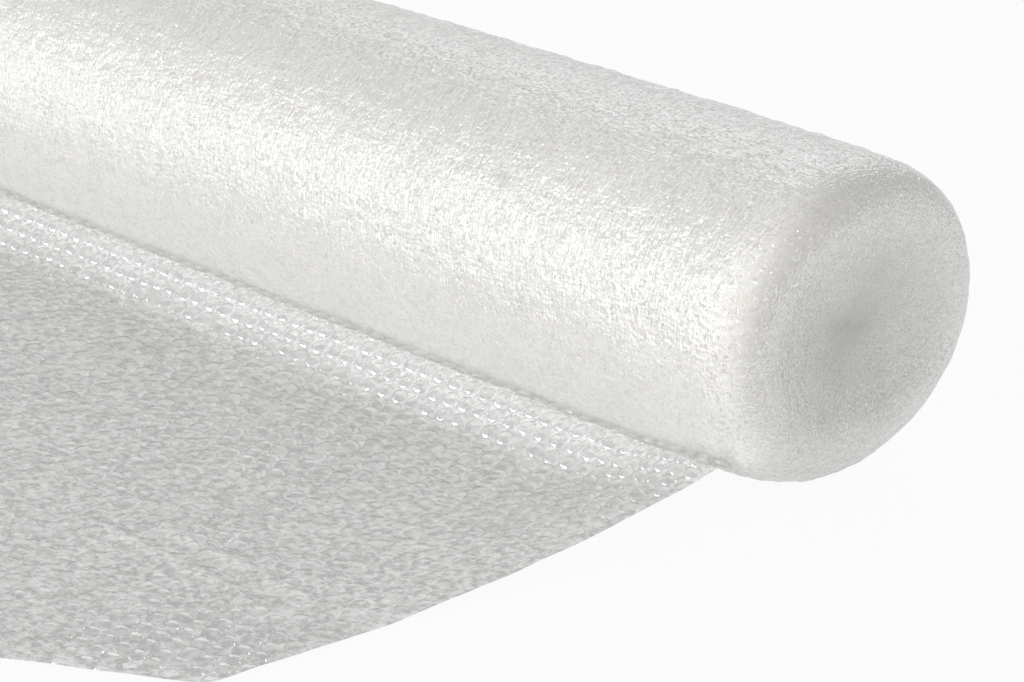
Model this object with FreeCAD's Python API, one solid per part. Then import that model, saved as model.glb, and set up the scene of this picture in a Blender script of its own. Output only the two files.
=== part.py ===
import FreeCAD, Part
import math
import os

# A roll of small-bubble cushioning film, lying on its side with the tail of
# the web laid out in front of it. X runs along the roll, the tail runs
# towards -Y and the floor is at Z = 0. The origin is on the floor, halfway
# along the roll and under its axis.

# The web: backing film with bubbles on one side
web_width = 750.0
bubble_pitch = 11.5
bubble_diameter = 10.0
web_thickness = 4.0
film_thickness = 1.0

# The roll, wound with the backing film outwards
roll_radius = 86.0
winding_pitch = 4.8
eye_radius = 4.0
flat_spot_depth = 0.8

# The soft ends of the roll
lip_height = 24.0
lip_radius = 62.0
dish_angle = 28.0
edge_wander = 1.2
wander_step = 120.0

# The tail: it clings to the roll, swells over a crest and lies down flat
leave_angle = 42.0
crest_radius = 18.0
descent_angle = 12.0
descent_run = 10.0
tail_reach = 446.0
corner_cut_along = 112.0
corner_cut_back = 74.0

# Room past the part for the cutting shapes
tool_margin = 20.0

axis_height = roll_radius - flat_spot_depth
centre_shift = winding_pitch / 2.0
row_spacing = bubble_pitch * math.sqrt(3.0) / 2.0


def section_point(y, z):
    """A point of the web's section, which lies in the plane X = 0."""
    return FreeCAD.Vector(0.0, y, z)


def line(start, end):
    return Part.LineSegment(start, end).toShape()


def arc(start, middle, end):
    return Part.Arc(start, middle, end).toShape()


def on_circle(centre_y, radius, angle):
    """A point of a turn, with the angle in degrees up from +Y."""
    turn = math.radians(angle)
    return section_point(centre_y + radius * math.cos(turn), axis_height + radius * math.sin(turn))


def end_reach(radius):
    """How far the web's edge stands from the middle of the roll, at a radius.

    From the axis outwards it rises out of a shallow round dish, turns over
    a soft lip and falls over the shoulder to the plain edge of the web.
    """
    shoulder_run = roll_radius - lip_radius
    soft_radius = (shoulder_run ** 2 + lip_height ** 2) / (2.0 * lip_height)
    lip_x = web_width / 2.0 + lip_height
    tilt = math.radians(dish_angle)
    join_radius = lip_radius - soft_radius * math.sin(tilt)
    if radius > join_radius:
        return lip_x - soft_radius + math.sqrt(soft_radius ** 2 - (radius - lip_radius) ** 2)
    join_x = lip_x - soft_radius * (1.0 - math.cos(tilt))
    dish_radius = join_radius / math.sin(tilt)
    dish_x = join_x + dish_radius * math.cos(tilt)
    return dish_x - math.sqrt(dish_radius ** 2 - radius ** 2)


def joint_reach(joint, radius):
    """The reach of the web's edge where two half turns meet, behind the roll or in front.

    The web wanders sideways a little as it is wound, once in a turn and a
    half, so each turn's edge stands clear of the next turn's.
    """
    if joint == 0:
        return web_width / 2.0
    wander = edge_wander * math.sin(math.radians(wander_step * joint))
    return end_reach(radius - winding_pitch / 2.0) + wander


def half_turn(radius, upper, first_angle, reach_back, reach_front):
    """Half a turn of the web, pressed onto the next one.

    Its edges drift sideways from one end of the half turn to the other, and
    keep square where the next half turn carries on.
    """
    centre_y = centre_shift if upper else 0.0
    last_angle = first_angle + 180.0 if upper else 360.0
    middle_angle = (first_angle + last_angle) / 2.0
    inner = radius - winding_pitch
    outer_ends = [on_circle(centre_y, radius, angle) for angle in (first_angle, last_angle)]
    inner_ends = [on_circle(centre_y, inner, angle) for angle in (first_angle, last_angle)]
    edges = [arc(outer_ends[0], on_circle(centre_y, radius, middle_angle), outer_ends[1]),
             line(outer_ends[1], inner_ends[1]),
             arc(inner_ends[1], on_circle(centre_y, inner, middle_angle), inner_ends[0]),
             line(inner_ends[0], outer_ends[0])]
    section = Part.Face(Part.Wire(edges))
    longest = web_width / 2.0 + lip_height + tool_margin
    section.translate(FreeCAD.Vector(-longest, 0.0, 0.0))
    wall = section.extrude(FreeCAD.Vector(2.0 * longest, 0.0, 0.0))
    back = centre_y + radius + tool_margin
    front = centre_y - radius - tool_margin
    plan = [(reach_back, back), (reach_back, centre_y + inner),
            (reach_front, centre_y - inner), (reach_front, front)]
    mirrored = [(-x, y) for x, y in reversed(plan)]
    corners = [FreeCAD.Vector(x, y, 0.0) for x, y in plan + mirrored]
    outline = Part.Face(Part.makePolygon(corners + [corners[0]]))
    return wall.common(outline.extrude(FreeCAD.Vector(0.0, 0.0, 2.0 * roll_radius)))


def winding():
    """All the half turns, from where the tail leaves inwards to the eye.

    Lower half turns are centred under the axis and upper ones are shifted
    back, so each is smaller than the last and meets it smoothly.
    """
    pieces = []
    radius = roll_radius
    first_angle = 270.0 - leave_angle
    joint = 0
    while radius - centre_shift - winding_pitch > eye_radius:
        front = joint_reach(joint, radius)
        back = joint_reach(joint + 1, radius)
        pieces.append(half_turn(radius, False, first_angle, back, front))
        radius -= centre_shift
        front = joint_reach(joint + 2, radius)
        pieces.append(half_turn(radius, True, 0.0, back, front))
        radius -= centre_shift
        joint += 2
        first_angle = 180.0
    return pieces


class TailPath:
    """The underside of the tail, from the roll to the free end, by distance along it."""

    def __init__(self):
        leave = math.radians(leave_angle)
        descent = math.radians(descent_angle)
        leave_y = -roll_radius * math.sin(leave)
        leave_z = axis_height - roll_radius * math.cos(leave)
        self.crest_y = leave_y - crest_radius * math.sin(leave)
        self.crest_z = leave_z + crest_radius * (1.0 - math.cos(leave))
        self.descent_y = self.crest_y - crest_radius * math.sin(descent)
        self.descent_z = self.crest_z - crest_radius * (1.0 - math.cos(descent))
        self.landing_y = self.descent_y - descent_run * math.cos(descent)
        self.landing_z = self.descent_z - descent_run * math.sin(descent)
        self.landing_radius = self.landing_z / (1.0 - math.cos(descent))
        self.floor_y = self.landing_y - self.landing_radius * math.sin(descent)
        self.crest_end = crest_radius * (leave + descent)
        self.descent_end = self.crest_end + descent_run
        self.landing_end = self.descent_end + self.landing_radius * descent
        self.length = self.landing_end + tail_reach + self.floor_y

    def place(self, distance, height):
        """The point at a distance from the roll and a height above the underside."""
        leave = math.radians(leave_angle)
        descent = math.radians(descent_angle)
        if distance < self.crest_end:
            slope = leave - distance / crest_radius
            y = self.crest_y + crest_radius * math.sin(slope)
            z = self.crest_z - crest_radius * (1.0 - math.cos(slope))
        elif distance < self.descent_end:
            slope = -descent
            y = self.descent_y - (distance - self.crest_end) * math.cos(descent)
            z = self.descent_z - (distance - self.crest_end) * math.sin(descent)
        elif distance < self.landing_end:
            slope = (distance - self.landing_end) / self.landing_radius
            y = self.floor_y - self.landing_radius * math.sin(slope)
            z = self.landing_radius * (1.0 - math.cos(slope))
        else:
            slope = 0.0
            y = self.floor_y - (distance - self.landing_end)
            z = 0.0
        return section_point(y + height * math.sin(slope), z + height * math.cos(slope))


def underside_edges(path):
    """The smooth backing film, from the free end back to the roll."""
    free_end = path.place(path.length, 0.0)
    on_floor = path.place(path.landing_end, 0.0)
    landing_middle = path.place((path.descent_end + path.landing_end) / 2.0, 0.0)
    landing = path.place(path.descent_end, 0.0)
    descent = path.place(path.crest_end, 0.0)
    crest_middle = path.place(path.crest_end / 2.0, 0.0)
    leave = path.place(0.0, 0.0)
    return [line(free_end, on_floor),
            arc(on_floor, landing_middle, landing),
            line(landing, descent),
            arc(descent, crest_middle, leave)]


def ridge_edges(path):
    """The rows of bubbles as rounded ridges, from the roll to the free end."""
    edges = [line(path.place(0.0, 0.0), path.place(0.0, film_thickness))]
    rows = int((path.length - bubble_diameter) / row_spacing)
    last = path.place(0.0, film_thickness)
    gap = (row_spacing - ridge_width()) / 2.0
    for row in range(rows):
        start = row * row_spacing + gap
        foot = path.place(start, film_thickness)
        top = path.place(start + ridge_width() / 2.0, web_thickness)
        far_foot = path.place(start + ridge_width(), film_thickness)
        edges.append(line(last, foot))
        edges.append(arc(foot, top, far_foot))
        last = far_foot
    end_top = path.place(path.length, film_thickness)
    edges.append(line(last, end_top))
    edges.append(line(end_top, path.place(path.length, 0.0)))
    return edges


def ridge_width():
    """A ridge is as wide as its bubbles, less where the next row would meet it."""
    return min(bubble_diameter, row_spacing) - film_thickness


def tail():
    """The unwound stretch of the web, as wide as the web all along."""
    path = TailPath()
    outline = Part.sortEdges(underside_edges(path) + ridge_edges(path))[0]
    section = Part.Face(Part.Wire(outline))
    section.translate(FreeCAD.Vector(-web_width / 2.0, 0.0, 0.0))
    return section.extrude(FreeCAD.Vector(web_width, 0.0, 0.0))


def corner_wedge():
    """What is cut away where the free end was cut off at a slant."""
    top = 2.0 * web_thickness
    corner_x = web_width / 2.0
    slant = corner_cut_back / corner_cut_along
    points = [(corner_x + tool_margin, -tail_reach + corner_cut_back + slant * tool_margin),
              (corner_x - corner_cut_along - tool_margin, -tail_reach - slant * tool_margin),
              (corner_x + tool_margin, -tail_reach - slant * tool_margin)]
    corners = [FreeCAD.Vector(x, y, -top) for x, y in points]
    outline = Part.makePolygon(corners + [corners[0]])
    return Part.Face(outline).extrude(FreeCAD.Vector(0.0, 0.0, 2.0 * top))


def floor_block():
    """The floor, which presses a small flat spot into the bottom of the roll."""
    reach = tail_reach + roll_radius
    corner = FreeCAD.Vector(-web_width, -reach, -tool_margin)
    return Part.makeBox(2.0 * web_width, 2.0 * reach, tool_margin, corner)


def film_roll():
    """The whole web, wound and laid out, as one solid."""
    web = tail().multiFuse(winding())
    web = web.cut(floor_block())
    return web.cut(corner_wedge())


os.makedirs("parts", exist_ok=True)
roll = film_roll()
roll.exportStep("parts/bubble_film.step")
print("solids", len(roll.Solids), "valid", roll.isValid(), "volume", round(roll.Volume))
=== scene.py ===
import math

import bpy
import numpy as np
from mathutils import Matrix, Vector


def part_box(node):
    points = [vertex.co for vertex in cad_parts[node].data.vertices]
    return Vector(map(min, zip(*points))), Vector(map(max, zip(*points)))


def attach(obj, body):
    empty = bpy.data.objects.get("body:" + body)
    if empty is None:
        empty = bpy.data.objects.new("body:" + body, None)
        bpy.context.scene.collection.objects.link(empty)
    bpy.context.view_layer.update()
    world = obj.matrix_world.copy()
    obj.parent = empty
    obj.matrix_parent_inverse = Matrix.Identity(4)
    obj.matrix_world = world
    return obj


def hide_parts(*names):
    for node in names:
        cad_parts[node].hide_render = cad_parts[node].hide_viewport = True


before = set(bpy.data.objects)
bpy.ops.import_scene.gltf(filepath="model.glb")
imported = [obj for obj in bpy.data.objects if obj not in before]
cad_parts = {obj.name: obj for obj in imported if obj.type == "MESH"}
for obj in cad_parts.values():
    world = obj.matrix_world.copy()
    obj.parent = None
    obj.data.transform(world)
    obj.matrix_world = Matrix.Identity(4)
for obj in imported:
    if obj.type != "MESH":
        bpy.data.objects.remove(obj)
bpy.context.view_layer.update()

# The wound body of the roll, with its ends
# Thin polyethylene film, wound with its flat side outwards and its bubbles
# inwards, whose air pushes it out into small domes with puckers between. At
# each end the turns' edges drift into a soft lip around a shallow dish.

film_low, film_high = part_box("bubble_film")
roll_radius = film_high[1]
tail_reach = -film_low[1]
flat_spot_depth = 0.0008
axis_height = roll_radius - flat_spot_depth
web_half_width = 0.375
winding_pitch = 0.0048
bubble_pitch = 0.0115
bubble_radius = 0.0050
row_spacing = bubble_pitch * math.sin(math.radians(60.0))
edge_leave_angle = math.radians(42.0)
middle_leave_angle = math.radians(34.0)
stiff_edge_width = 0.09
gap_fill_angle = 0.30
lip_radius = 0.062
lip_height = 0.024
roll_half_length = web_half_width + lip_height
dish_angle = math.radians(28.0)
dish_fill = 0.65
shoulder_softness = 0.0075
end_lean = 0.0096
end_squash = 0.035
lean_run = 0.12

# How finely the body is drawn, and the height and size of its small forms
body_around = 250
body_spacing = 0.0024
pucker_height = 0.0007
least_dome = 0.65
spiral_from = 0.55
spiral_run = 0.35
ring_height = 0.0005
ring_patch_size = 0.028
end_lump_height = 0.0016
end_lump_size = 0.034
sag_height = 0.0004
sag_size = 0.040
ripple_height = 0.0004
ripple_size = 0.009


def lattice_value(corner, seed):
    """A steady number from -1 to 1 for each corner of a grid of cells."""
    key = corner.astype(np.int64)
    mixed = key[:, 0] * 73856093 ^ key[:, 1] * 19349663 ^ key[:, 2] * 83492791 ^ seed * 2654435761
    mixed = (mixed ^ (mixed >> 13)) * 1274126177
    mixed = (mixed ^ (mixed >> 16)) & 0xFFFF
    return mixed / 32767.5 - 1.0


def crumple(points, size, seed):
    """Smooth lumps of about the given size, from -1 to 1, at each point."""
    flat = points.reshape(-1, 3) / size
    corner = np.floor(flat)
    part = flat - corner
    part = part * part * (3.0 - 2.0 * part)
    total = np.zeros(len(flat))
    for dx in (0, 1):
        for dy in (0, 1):
            for dz in (0, 1):
                weight = (part[:, 0] if dx else 1.0 - part[:, 0])
                weight = weight * (part[:, 1] if dy else 1.0 - part[:, 1])
                weight = weight * (part[:, 2] if dz else 1.0 - part[:, 2])
                total += weight * lattice_value(corner + (dx, dy, dz), seed)
    return total.reshape(points.shape[:-1])


def settled(along):
    """How far the film has sunk, from 0 at its stiff edges to 1 over the middle."""
    inside = np.clip((web_half_width - np.abs(along)) / stiff_edge_width, 0.0, 1.0)
    return inside * inside * (3.0 - 2.0 * inside)


def winding_radius(turned):
    """The outer face's radius after turning by that angle from where the tail leaves.

    Over the last of the turn the tail's own bubbles fill the gap up to it.
    """
    filled = np.clip((turned - 2.0 * math.pi + gap_fill_angle) / gap_fill_angle, 0.0, 1.0)
    return roll_radius - winding_pitch * (turned / (2.0 * math.pi) - filled * filled)


def meridian():
    """The half outline of the roll, from the middle of one end to the middle of the other.

    Each point holds a place along the roll and a depth below the outer
    face. The lip, the dish and the shoulder follow the wound turns' edges.
    """
    shoulder_run = roll_radius - lip_radius
    soft_radius = (shoulder_run ** 2 + lip_height ** 2) / (2.0 * lip_height)
    join_radius = lip_radius - soft_radius * math.sin(dish_angle)
    dish_radius = join_radius / math.sin(dish_angle)
    join_place = roll_half_length - soft_radius * (1.0 - math.cos(dish_angle))
    dish_top = join_place + dish_radius * math.cos(dish_angle)
    steps = int(roll_radius / body_spacing)
    end = []
    for step in range(steps):
        radius = roll_radius * step / steps
        if radius > join_radius:
            rise = math.sqrt(soft_radius ** 2 - (radius - lip_radius) ** 2)
            place = roll_half_length - soft_radius + rise
        else:
            place = dish_top - math.sqrt(dish_radius ** 2 - radius ** 2)
        if radius < lip_radius:
            place = roll_half_length - dish_fill * (roll_half_length - place)
        end.append((place, radius))
    body_steps = int(2.0 * web_half_width / body_spacing)
    body = [(web_half_width * (1.0 - 2.0 * step / body_steps), roll_radius)
            for step in range(body_steps + 1)]
    outline = np.array(end + body + [(-place, radius) for place, radius in reversed(end)])
    outline = soften(outline, int(shoulder_softness / body_spacing))
    outline[[0, -1], 1] = 0.0
    return outline


def soften(outline, reach):
    """Rounds the corners of an outline by averaging each point with its neighbours."""
    padded = np.vstack([outline[:1]] * reach + [outline] + [outline[-1:]] * reach)
    kernel = np.hanning(2 * reach + 3)[1:-1]
    kernel /= kernel.sum()
    return np.stack([np.convolve(padded[:, axis], kernel, mode="valid") for axis in (0, 1)], axis=1)


def bubble_dome(along, across):
    """How far the bubbles' air pushes the film out, from 0 to 1, by place on the flat web."""
    row = np.round(across / row_spacing)
    offset = np.where(row % 2 == 0, 0.0, bubble_pitch / 2.0)
    column = np.round((along - offset) / bubble_pitch)
    away = np.hypot(along - offset - column * bubble_pitch, across - row * row_spacing)
    cell = np.stack([column, row, np.zeros_like(row)], axis=-1).reshape(-1, 3)
    fill = least_dome + (1.0 - least_dome) * lattice_value(cell, 5).reshape(row.shape)
    return fill * np.clip(1.0 - (away / bubble_radius) ** 2, 0.0, 1.0)


def roll_surface(outline, turned):
    """Points of the roll's outer surface, by turn angle and by place on the meridian."""
    place = np.broadcast_to(outline[:, 0], (len(turned), len(outline)))
    leave_angle = edge_leave_angle + settled(place) * (middle_leave_angle - edge_leave_angle)
    angle = turned[:, None] - math.pi / 2.0 - leave_angle
    outer_share = np.clip((outline[:, 1] / roll_radius - spiral_from) / spiral_run, 0.0, 1.0)
    radius = outline[None, :, 1] - (roll_radius - winding_radius(turned))[:, None] * outer_share
    tangent = np.gradient(outline, axis=0)
    tangent /= np.linalg.norm(tangent, axis=1, keepdims=True)
    out_x = np.broadcast_to(tangent[:, 1], place.shape)
    out_r = np.broadcast_to(-tangent[:, 0], place.shape)
    cos = np.cos(angle)
    sin = np.sin(angle)
    points = np.stack([place, radius * cos, axis_height + radius * sin], axis=-1)
    normal = np.stack([out_x, out_r * cos, out_r * sin], axis=-1)
    depth = winding_radius(turned)[:, None] - radius
    on_body = np.clip(out_r, 0.0, 1.0) ** 2
    domes = bubble_dome(points[..., 0], turned[:, None] * roll_radius + 0.0 * radius)
    turns = np.cos(2.0 * math.pi * depth / winding_pitch)
    rings = ring_height * np.clip(crumple(points, ring_patch_size, 4) + 0.2, 0.0, 1.0) * turns
    lumps = end_lump_height * crumple(points, end_lump_size, 6)
    lift = on_body * pucker_height * domes + (1.0 - on_body) * (rings + lumps)
    lift = lift + sag_height * crumple(points, sag_size, 1)
    lift = lift + ripple_height * crumple(points, ripple_size, 2)
    return lean_end(points + normal * lift[..., None])


def lean_end(points):
    """The soft ends sag: each leans out at the top and grows wider than it is tall."""
    from_edge = (np.abs(points[..., 0]) - web_half_width + lean_run) / lean_run
    share = np.clip(from_edge, 0.0, 1.0) ** 2
    rise = (points[..., 2] - axis_height) / roll_radius
    leaned = points.copy()
    leaned[..., 0] += np.sign(points[..., 0]) * end_lean * rise * share
    leaned[..., 1] *= 1.0 + end_squash * share
    leaned[..., 2] -= end_squash * share * (points[..., 2] - axis_height)
    leaned[..., 2] = np.maximum(leaned[..., 2], 0.0)
    return leaned


def patch(name, points, closed=False):
    """A mesh of four-sided faces over a grid of points, which may close on its first row."""
    rows, columns = points.shape[:2]
    index = np.arange(rows * columns).reshape(rows, columns)
    if closed:
        index = np.vstack([index, index[:1]])
    faces = np.stack([index[:-1, :-1], index[1:, :-1], index[1:, 1:], index[:-1, 1:]], axis=-1)
    return mesh_piece(name, points, faces.reshape(-1, 4).tolist())


def mesh_piece(name, points, faces):
    """A smooth-shaded object from points and faces, which rides with the roll."""
    mesh = bpy.data.meshes.new(name)
    mesh.from_pydata(points.reshape(-1, 3).tolist(), [], faces)
    mesh.shade_smooth()
    piece = bpy.data.objects.new(name, mesh)
    bpy.context.scene.collection.objects.link(piece)
    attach(piece, "root")
    return piece


class Value:
    """A socket of a material's node tree that can be used in sums."""

    def __init__(self, tree, socket):
        self.tree = tree
        self.socket = socket

    def node(self, kind, settings=(), **inputs):
        """Any node, with its settings first and then its inputs' values or links."""
        made = self.tree.nodes.new(kind)
        for name, setting in dict(settings).items():
            setattr(made, name, setting)
        for name, value in inputs.items():
            numbered = name[0] == "n" and name[1:].isdigit()
            key = int(name[1:]) if numbered else name.replace("_", " ")
            if isinstance(value, Value):
                self.tree.links.new(value.socket, made.inputs[key])
            else:
                made.inputs[key].default_value = value
        return made

    def out(self, kind, output, settings=(), **inputs):
        """One output of a new node."""
        return Value(self.tree, self.node(kind, settings, **inputs).outputs[output])

    def math(self, operation, *values):
        """The result of a math node on these values."""
        inputs = {"n%d" % place: value for place, value in enumerate(values)}
        return self.out("ShaderNodeMath", 0, {"operation": operation}, **inputs)

    def __add__(self, other):
        return self.math("ADD", self, other)

    def __sub__(self, other):
        return self.math("SUBTRACT", self, other)

    def __mul__(self, other):
        return self.math("MULTIPLY", self, other)

    def __rsub__(self, other):
        return self.math("SUBTRACT", other, self)

    __radd__ = __add__
    __rmul__ = __mul__

    def between(self, low, high):
        """0 under low, 1 over high and smooth between them."""
        return self.out("ShaderNodeMapRange", 0, {"interpolation_type": "SMOOTHSTEP"},
                        Value=self, From_Min=low, From_Max=high)


def film_material(name):
    """An empty material, and the place on the object that its pattern starts from."""
    material = bpy.data.materials.new(name)
    material.use_nodes = True
    material.node_tree.nodes.clear()
    start = Value(material.node_tree, None)
    return material, start.out("ShaderNodeTexCoord", "Object")


def axes(place):
    """The three coordinates of a place."""
    parts = place.node("ShaderNodeSeparateXYZ", Vector=place)
    return [Value(place.tree, parts.outputs[axis]) for axis in range(3)]


def noise(place, size, detail, stretch=(1.0, 1.0, 1.0)):
    """Soft noise from 0 to 1, with lumps of a size in metres, drawn out along each axis."""
    drawn = place.out("ShaderNodeVectorMath", 0, {"operation": "DIVIDE"}, n0=place, n1=stretch)
    return drawn.out("ShaderNodeTexNoise", 0, Vector=drawn, Scale=1.0 / size, Detail=detail)


def facets(place, size, share):
    """Small flat creases of the film: which cells are one, and how each tilts its own way."""
    cells = place.node("ShaderNodeTexVoronoi", Vector=place, Scale=1.0 / size)
    colour = Value(place.tree, cells.outputs["Color"])
    chosen = Value(place.tree, place.node("ShaderNodeSeparateColor", Color=colour).outputs[2])
    tilt = place.out("ShaderNodeVectorMath", 0, {"operation": "SUBTRACT"}, n0=colour, n1=(0.5, 0.5, 0.5))
    inside = place.out("ShaderNodeVectorMath", 0, {"operation": "SUBTRACT"},
                       n0=place, n1=Value(place.tree, cells.outputs["Position"]))
    height = place.out("ShaderNodeVectorMath", "Value", {"operation": "DOT_PRODUCT"}, n0=tilt, n1=inside)
    return chosen.between(1.0 - share, 1.02 - share), height


def blend(share, dark, light):
    """A colour between a dark one and a light one."""
    return share.out("ShaderNodeMix", 2, {"data_type": "RGBA"}, n0=share, n6=dark, n7=light)


def matt(place, colour, **inputs):
    """The film's own body, without its gloss."""
    return place.out("ShaderNodeBsdfPrincipled", 0, Base_Color=colour, Roughness=0.6,
                     Specular_IOR_Level=0.0, **inputs)


def cover(body, height, fresnel_share, sparkle, roughness):
    """The film's gloss over its body: wrinkles tilt it, and it mirrors most at a slant."""
    wrinkled = height.out("ShaderNodeBump", 0, Height=height, Distance=1.0, Strength=1.0)
    slant = height.out("ShaderNodeFresnel", 0, IOR=1.5, Normal=wrinkled)
    gloss = height.out("ShaderNodeBsdfPrincipled", 0, Base_Color=(1.0, 1.0, 1.0, 1.0),
                       Metallic=1.0, Roughness=roughness, Normal=wrinkled)
    share = height.math("MINIMUM", slant * fresnel_share + sparkle, most_gloss)
    surface = height.out("ShaderNodeMixShader", 0, n0=share, n1=body, n2=gloss)
    height.node("ShaderNodeOutputMaterial", Surface=surface)


most_gloss = 0.9
noise_range = (0.36, 0.64)
streak_size = 0.0017
streak_stretch = 2.4
streak_height = 0.0009
cloud_size = 0.014
cloud_stretch = 1.6
facet_size = 0.0014
facet_share = 0.25
facet_tilt = 0.7
side_from = 0.074
side_full = 0.080
side_paleness = 0.031
# Share of the colour range that the ends keep: painted shade that darkens the roll's ends towards the
# warm dark tone
painted_end_shade = 0.25
wound_dark = (0.73, 0.72, 0.695, 1.0)
wound_light = (0.88, 0.868, 0.84, 1.0)

wound_film, place = film_material("wound_film")
along, back, up = axes(place)
above = up - axis_height
around = place.math("ARCTAN2", back, above) * roll_radius
outwards = place.math("SQRT", back * back + above * above)
web = place.out("ShaderNodeCombineXYZ", 0, X=along, Y=outwards, Z=around)
streaks = noise(web, streak_size, 1.0, (1.0, 1.0, streak_stretch))
grains = noise(web, streak_size, 1.0, (streak_stretch, 1.0, 1.0))
clouds = noise(web, cloud_size, 1.0, (1.0, 1.0, cloud_stretch))
side = outwards.between(side_from, side_full)
pattern = streaks * 0.40 + grains * 0.40 + clouds * 0.20 + side * side_paleness
# Towards the ends the blend is pulled down to the dark tone, with a fainter pattern: painted shade on
# the ends, which face away from the key lamp
shade = pattern.between(*noise_range) * (painted_end_shade + (1.0 - painted_end_shade) * side)
layers = matt(place, blend(shade, wound_dark, wound_light), Subsurface_Weight=1.0,
              Subsurface_Scale=0.03, Subsurface_Radius=(1.0, 0.94, 0.86))
facet, facet_height = facets(web, facet_size, facet_share)
wrinkle_height = (streaks + grains) * streak_height + facet * facet_height * facet_tilt
cover(layers, wrinkle_height, fresnel_share=0.4, sparkle=facet * (0.18 - 0.08 * side), roughness=0.2)

outline = meridian()
points = roll_surface(outline, np.linspace(0.0, 2.0 * math.pi, body_around, endpoint=False))
wound_body = patch("wound_body", points, closed=True)
wound_body.data.materials.append(wound_film)

# The backing film of the tail
# The same flat film, seen through the bubbles: it clings to the roll,
# turns over a crest and lies down on the floor, last of all at its edges.

edge_crest_radius = 0.018
middle_crest_radius = 0.012
edge_descent_angle = math.radians(12.0)
edge_descent_run = 0.010
middle_descent_angle = math.radians(30.0)
middle_descent_run = 0.014
corner_cut_along = 0.112
corner_cut_back = 0.074

# The loose film: its waves, and the place along and down the tail of its creases
held_run = 0.015
wave_height = 0.0008
wave_size = 0.045
small_wave_height = 0.0004
small_wave_size = 0.018
fold_creases = ((0.245, 0.247), (0.274, 0.228))
crease_half_length = 0.065
crease_fade = 0.02
crease_rise = 0.0016
crease_width = 0.003

tail_columns = 251
tail_rows = 170
film_lift = 0.0002


class TailPath:
    """The underside of the tail, from the roll to the free end, by distance along it."""

    def __init__(self, leave_angle, crest_radius, descent_angle, descent_run):
        self.leave_angle = leave_angle
        self.crest_radius = crest_radius
        self.descent_angle = descent_angle
        leave_y = -roll_radius * math.sin(leave_angle)
        leave_z = axis_height - roll_radius * math.cos(leave_angle)
        self.crest_y = leave_y - crest_radius * math.sin(leave_angle)
        self.crest_z = leave_z + crest_radius * (1.0 - math.cos(leave_angle))
        self.descent_y = self.crest_y - crest_radius * math.sin(descent_angle)
        self.descent_z = self.crest_z - crest_radius * (1.0 - math.cos(descent_angle))
        landing_y = self.descent_y - descent_run * math.cos(descent_angle)
        landing_z = self.descent_z - descent_run * math.sin(descent_angle)
        self.landing_radius = landing_z / (1.0 - math.cos(descent_angle))
        self.floor_y = landing_y - self.landing_radius * math.sin(descent_angle)
        self.crest_end = crest_radius * (leave_angle + descent_angle)
        self.descent_end = self.crest_end + descent_run
        self.landing_end = self.descent_end + self.landing_radius * descent_angle
        self.length = self.landing_end + tail_reach + self.floor_y

    def slope(self, distance):
        """How steeply the tail rises towards its free end, at each distance."""
        over_crest = self.leave_angle - distance / self.crest_radius
        landing = (distance - self.landing_end) / self.landing_radius
        slope = np.where(distance < self.crest_end, over_crest, -self.descent_angle)
        slope = np.where(distance > self.descent_end, landing, slope)
        return np.where(distance > self.landing_end, 0.0, slope)

    def place(self, distance):
        """The points (y, z) of the underside at each distance."""
        slope = self.slope(distance)
        past_crest = distance - self.crest_end
        y = self.crest_y + self.crest_radius * np.sin(slope)
        z = self.crest_z - self.crest_radius * (1.0 - np.cos(slope))
        steep = distance > self.crest_end
        y = np.where(steep, self.descent_y - past_crest * math.cos(self.descent_angle), y)
        z = np.where(steep, self.descent_z - past_crest * math.sin(self.descent_angle), z)
        landing = distance > self.descent_end
        y = np.where(landing, self.floor_y - self.landing_radius * np.sin(slope), y)
        z = np.where(landing, self.landing_radius * (1.0 - np.cos(slope)), z)
        flat = distance > self.landing_end
        y = np.where(flat, self.floor_y - (distance - self.landing_end), y)
        z = np.where(flat, 0.0, z)
        return y, z


edge_path = TailPath(edge_leave_angle, edge_crest_radius, edge_descent_angle, edge_descent_run)
middle_path = TailPath(middle_leave_angle, middle_crest_radius, middle_descent_angle, middle_descent_run)
tail_length = edge_path.length


def slack(along, distance):
    """The small waves of the loose film, and its two creases along the roll."""
    flat = np.stack([along, distance, 0.0 * distance], axis=-1)
    waves = wave_height * (1.0 + crumple(flat, wave_size, 11))
    waves = waves + small_wave_height * (1.0 + crumple(flat, small_wave_size, 12))
    for crease_along, crease_distance in fold_creases:
        ends = np.clip((crease_half_length - np.abs(along - crease_along)) / crease_fade, 0.0, 1.0)
        ridge = np.exp(-((distance - crease_distance) / crease_width) ** 2)
        waves = waves + crease_rise * ends * ridge
    return waves * np.clip(distance / held_run, 0.0, 1.0)


def tail_points(along, distance, height):
    """Points over the tail, a height above its underside."""
    share = settled(along)
    stretched = distance * middle_path.length / tail_length
    edge_y, edge_z = edge_path.place(distance)
    middle_y, middle_z = middle_path.place(stretched)
    y = edge_y + share * (middle_y - edge_y)
    z = edge_z + share * (middle_z - edge_z)
    slope = (1.0 - share) * edge_path.slope(distance) + share * middle_path.slope(stretched)
    rise = height + slack(along, distance)
    return np.stack([along, y + rise * np.sin(slope), z + rise * np.cos(slope)], axis=-1)


def cut_back(along):
    """How far the slanting cut shortens the tail, at each place along the roll."""
    share = (along - web_half_width + corner_cut_along) / corner_cut_along
    return np.clip(share, 0.0, 1.0) * corner_cut_back


tail_along = np.linspace(-web_half_width, web_half_width, tail_columns)
tail_steps = np.linspace(0.0, 1.0, tail_rows)
grid_along = np.broadcast_to(tail_along, (tail_rows, tail_columns))
grid_distance = tail_steps[:, None] * (tail_length - cut_back(grid_along))
tail_film = patch("tail_backing_film", tail_points(grid_along, grid_distance, film_lift))

wrinkle_size = 0.0042
wrinkle_rise = 0.0012
fine_wrinkle_size = 0.0015
fine_wrinkle_rise = 0.0003
haze_dark = (0.40, 0.398, 0.385, 1.0)
haze_light = (0.73, 0.727, 0.70, 1.0)
clear_from = -0.10
clear_full = -0.06

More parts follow.
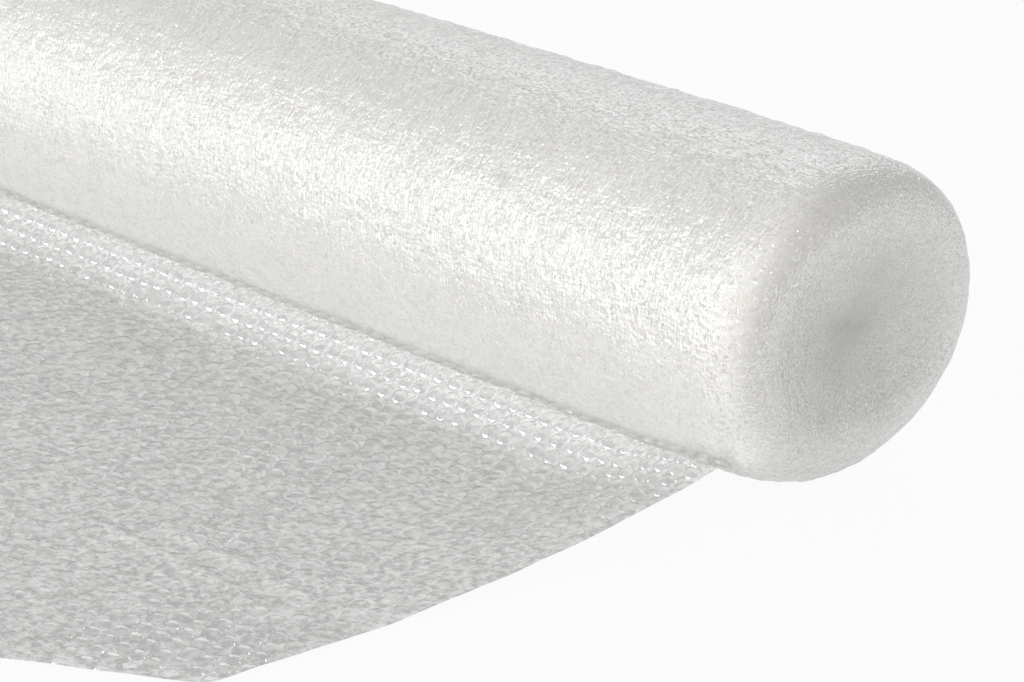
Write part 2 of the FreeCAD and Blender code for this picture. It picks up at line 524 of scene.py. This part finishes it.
backing_film, place = film_material("tail_film")
wrinkles = noise(place, wrinkle_size, 2.0)
fine_wrinkles = noise(place, fine_wrinkle_size, 1.0)
haze = (wrinkles * 0.6 + fine_wrinkles * 0.4).between(*noise_range)
near_roll = axes(place)[1].between(clear_from, clear_full)
hazy = matt(place, blend(haze, haze_dark, haze_light), Alpha=0.72 - 0.25 * haze - 0.25 * near_roll)
wrinkle_height = wrinkles * wrinkle_rise + fine_wrinkles * fine_wrinkle_rise
cover(hazy, wrinkle_height, fresnel_share=0.2, sparkle=0.0, roughness=0.25)
tail_film.data.materials.append(backing_film)

# The bubbles of the tail
# Each bubble is a low dome of thinner film, drawn down by vacuum and sealed
# to the backing film around its foot. Some are firm, and the rest a little
# slack and creased. Those that the web's edges cut have lost their air.

bubble_sides = 12
bubble_height = 0.0032
bubble_profile = ((1.00, 0.0), (0.92, 0.28), (0.74, 0.62), (0.50, 0.87), (0.25, 0.97), (0.0, 1.0))
foot_lift = 0.0003
least_fill = 0.65
cut_fill = 0.3
firm_size = 0.07
firm_run = 0.06

# Patches of firm bubbles: the place along and down the tail, and the reach
firm_patches = ((0.175, 0.120, 0.045), (0.335, 0.308, 0.050))


def bubble_centres():
    """Places (along, distance) of the bubbles on the tail, with the ones that the edges cut."""
    places = []
    rows = int(tail_length / row_spacing)
    columns = int(web_half_width / bubble_pitch) + 1
    for row in range(rows):
        distance = (row + 0.5) * row_spacing
        offset = bubble_pitch / 2.0 if row % 2 else 0.0
        for column in range(-columns, columns + 1):
            along = column * bubble_pitch + offset
            if abs(along) < web_half_width and distance < tail_length - cut_back(np.array(along)):
                places.append((along, distance))
    return np.array(places)


def on_sheet(along, distance):
    """The same places, kept inside the edges of the tail."""
    along = np.clip(along, -web_half_width, web_half_width)
    return along, np.clip(distance, 0.0, tail_length - cut_back(along))


def firmness(centres):
    """How firm each bubble is, from 0 for a slack one to 1."""
    flat = np.stack([centres[:, 0], centres[:, 1], np.zeros(len(centres))], axis=-1)
    firm = 0.35 + 0.7 * crumple(flat, firm_size, 14) + np.exp(-centres[:, 1] / firm_run)
    for along, distance, reach in firm_patches:
        away = np.hypot(centres[:, 0] - along, centres[:, 1] - distance)
        firm += np.exp(-(away / reach) ** 2)
    return np.clip(firm, 0.0, 1.0)


def edge_room(centres):
    """How far the middle of each bubble is from the nearest edge of the web."""
    cut_room = tail_length - cut_back(centres[:, 0] + bubble_radius) - centres[:, 1]
    return np.minimum(web_half_width - np.abs(centres[:, 0]), cut_room)


def bubble_faces(count):
    """The faces of that many bubbles, each with rings of points and one at its top."""
    rings = len(bubble_profile) - 1
    top = rings * bubble_sides
    quads = []
    for ring in range(rings - 1):
        for side in range(bubble_sides):
            here = ring * bubble_sides
            above = here + bubble_sides
            after = (side + 1) % bubble_sides
            quads.append((here + side, here + after, above + after, above + side))
    last = top - bubble_sides
    caps = [(last + side, last + (side + 1) % bubble_sides, top) for side in range(bubble_sides)]
    shift = np.arange(count)[:, None, None] * (top + 1)
    quads = (np.array(quads)[None] + shift).reshape(-1, 4).tolist()
    return quads + (np.array(caps)[None] + shift).reshape(-1, 3).tolist()


def bubble_piece(name, centres, seed):
    """Many bubbles in one mesh, each a little different."""
    random = np.random.default_rng(seed)
    count = len(centres)
    around = np.arange(bubble_sides) * 2.0 * math.pi / bubble_sides
    fill = random.uniform(least_fill, 1.0, count) * (0.5 + 0.5 * firmness(centres))
    fill = fill * np.where(edge_room(centres) < bubble_radius, cut_fill, 1.0)
    tilt = random.normal(0.0, 0.04, (count, 2))
    fold_phase = random.uniform(0.0, 2.0 * math.pi, (count, 2))
    fold = random.uniform(0.0, 0.06, (count, 2))
    folds = fold[:, :1] * np.cos(2.0 * around + fold_phase[:, :1])
    folds = folds + fold[:, 1:] * np.cos(3.0 * around + fold_phase[:, 1:])
    rings = []
    for reach, level in bubble_profile[:-1]:
        radius = bubble_radius * reach * (1.0 + 0.015 * random.normal(size=(count, bubble_sides)))
        across = radius * np.cos(around)
        down = radius * np.sin(around)
        height = bubble_height * level * fill[:, None] * (1.0 + folds * level * reach)
        height = height + (tilt[:, :1] * across + tilt[:, 1:] * down) * level
        along, distance = on_sheet(centres[:, :1] + across, centres[:, 1:] + down)
        rings.append(tail_points(along, distance, height + foot_lift))
    top_level = bubble_profile[-1][1]
    top = bubble_height * top_level * fill * (1.0 + random.normal(0.0, 0.04, count))
    tops = tail_points(centres[:, 0], centres[:, 1], top + foot_lift)[:, None, :]
    points = np.concatenate([np.stack(rings, axis=1).reshape(count, -1, 3), tops], axis=1)
    return mesh_piece(name, points, bubble_faces(count))


milky_colour = (0.50, 0.50, 0.49, 1.0)
slack_crease_size = 0.0026
slack_crease_rise = 0.0002
tight_from = -0.12
tight_full = -0.09
tight_patch_size = 0.03

bubble_film, place = film_material("bubble_film_clear")
rim = place.out("ShaderNodeLayerWeight", "Facing", Blend=0.5)
milky = matt(place, milky_colour, Alpha=0.10 + 0.25 * rim.between(0.5, 1.0))
tight = axes(place)[1].between(tight_from, tight_full)
tight = tight + noise(place, tight_patch_size, 0.0).between(0.54, 0.68) * 0.4
for along, distance, reach in firm_patches:
    middle = tuple(tail_points(np.array(along), np.array(distance), 0.0))
    away = place.out("ShaderNodeVectorMath", "Value", {"operation": "DISTANCE"}, n0=place, n1=middle)
    tight = tight + away.between(1.2 * reach, 0.5 * reach) * 0.8
tight = tight.math("MINIMUM", tight, 1.0)
wrinkle_height = noise(place, slack_crease_size, 0.0) * slack_crease_rise
cover(milky, wrinkle_height, fresnel_share=0.06, sparkle=tight * 0.25, roughness=0.12)

centres = bubble_centres()
near_half = centres[:, 0] > 0.0
for side_name, chosen, seed in (("near", near_half, 21), ("far", ~near_half, 22)):
    bubbles = bubble_piece("tail_bubbles_" + side_name, centres[chosen], seed)
    bubbles.data.materials.append(bubble_film)
    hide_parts("bubble_film")
for piece in (wound_body, tail_film):
    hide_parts("bubble_film")

# The floor and the light
# A plain white floor. A large soft lamp stands low on the left, a second
# one behind and above the roll, a wide low one in front of it, and a small
# one at its near end.

floor_half = 8.0
floor_level = -0.0005
floor_white = 0.93
floor_corners = [(x * floor_half, y * floor_half, floor_level)
                 for x, y in ((-1, -1), (1, -1), (1, 1), (-1, 1))]
floor_mesh = bpy.data.meshes.new("floor")
floor_mesh.from_pydata(floor_corners, [], [(0, 1, 2, 3)])
floor = bpy.data.objects.new("floor", floor_mesh)
bpy.context.scene.collection.objects.link(floor)
floor_paint = bpy.data.materials.new("floor_paint")
floor_paint.use_nodes = True
floor_paint.node_tree.nodes.clear()
floor_start = Value(floor_paint.node_tree, None)
painted = floor_start.out("ShaderNodeBsdfPrincipled", 0, Base_Color=(0.9, 0.9, 0.9, 1.0),
                          Roughness=0.9)
seen = floor_start.out("ShaderNodeLightPath", "Is Camera Ray")
mirrored = floor_start.out("ShaderNodeLightPath", "Is Glossy Ray")
through = floor_start.out("ShaderNodeLightPath", "Is Transmission Ray")
white = floor_start.out("ShaderNodeEmission", 0, Color=(1.0, 1.0, 1.0, 1.0), Strength=1.0)
share = (seen + mirrored + through) * floor_white
floor_mix = floor_start.out("ShaderNodeMixShader", 0, n0=share, n1=painted, n2=white)
floor_start.node("ShaderNodeOutputMaterial", Surface=floor_mix)
floor.data.materials.append(floor_paint)


lamp_target = Vector((0.1, -0.1, 0.0))


def softbox(name, direction, distance, size, power):
    """A soft lamp of some width and height, which looks at the roll from a direction."""
    lamp = bpy.data.lights.new(name, "AREA")
    lamp.shape = "RECTANGLE"
    lamp.size = size[0]
    lamp.size_y = size[1]
    lamp.energy = power
    light = bpy.data.objects.new(name, lamp)
    toward = Vector(direction).normalized()
    light.location = lamp_target + toward * distance
    light.rotation_euler = toward.to_track_quat("Z", "Y").to_euler()
    bpy.context.scene.collection.objects.link(light)


softbox("key_light", (-0.707, -0.68, 0.17), 5.0, (1.3, 1.4), 11.5)
softbox("top_light", (-0.55, 0.64, 0.54), 3.0, (2.2, 2.2), 12.0)
softbox("fill_light", (-0.05, -0.99, 0.12), 2.5, (2.0, 0.5), 43.0)
softbox("glint_light", (0.75, 0.50, 0.40), 2.5, (0.25, 0.25), 4.0)

world = bpy.data.worlds.new("studio")
bpy.context.scene.world = world
world.use_nodes = True
world.node_tree.nodes["Background"].inputs["Color"].default_value = (0.48, 0.48, 0.48, 1.0)
world.node_tree.nodes["Background"].inputs["Strength"].default_value = 1.0

# The camera
# It looks down along the roll from its near end, through a long lens.

camera_azimuth = math.radians(48.3)
camera_elevation = math.radians(18.76)
camera_roll = math.radians(0.67)
camera_distance = 2.151
camera_target = Vector((0.1494, 0.0, 0.0154))
camera_data = bpy.data.cameras.new("camera")
camera_data.lens = 146.1
camera_data.sensor_width = 36.0
camera = bpy.data.objects.new("camera", camera_data)
turn = Matrix.Rotation(camera_azimuth, 4, "Z")
turn = turn @ Matrix.Rotation(math.pi / 2.0 - camera_elevation, 4, "X")
turn = turn @ Matrix.Rotation(camera_roll, 4, "Z")
step_back = Matrix.Translation((0.0, 0.0, camera_distance))
camera.matrix_world = Matrix.Translation(camera_target) @ turn @ step_back
bpy.context.scene.collection.objects.link(camera)
bpy.context.scene.camera = camera
bpy.context.scene.view_settings.view_transform = "Standard"
